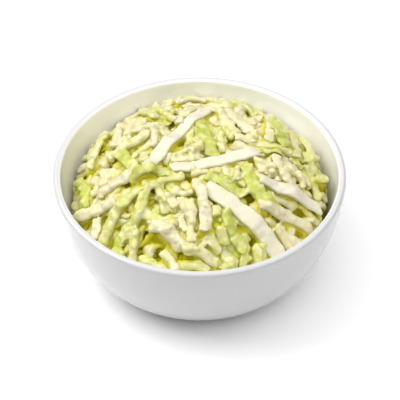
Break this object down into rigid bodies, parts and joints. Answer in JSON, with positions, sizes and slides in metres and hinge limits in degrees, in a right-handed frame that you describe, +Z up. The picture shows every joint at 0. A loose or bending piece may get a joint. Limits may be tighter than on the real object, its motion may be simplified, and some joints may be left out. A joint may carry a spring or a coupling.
{
  "type": "coleslaw in a bowl",
  "caption": "Creamy shredded cabbage coleslaw heaped in a small round white bowl with an upright rim and a flat foot.",
  "frame": {"origin": "under the centre of the bowl, on the surface that it stands on", "axes": "+Z up along the axis that the bowl is turned about; -Y is the side that it is served from"},
  "size_m": [0.13, 0.13, 0.0646],
  "materials": {
    "glazed_porcelain": "smooth white glaze, glossy",
    "dressed_cabbage": "moist cream and pale green shreds in dressing"
  },
  "bodies": {
    "root": {"bowl": "glazed_porcelain", "coleslaw": "dressed_cabbage"}
  },
  "joints": []
}
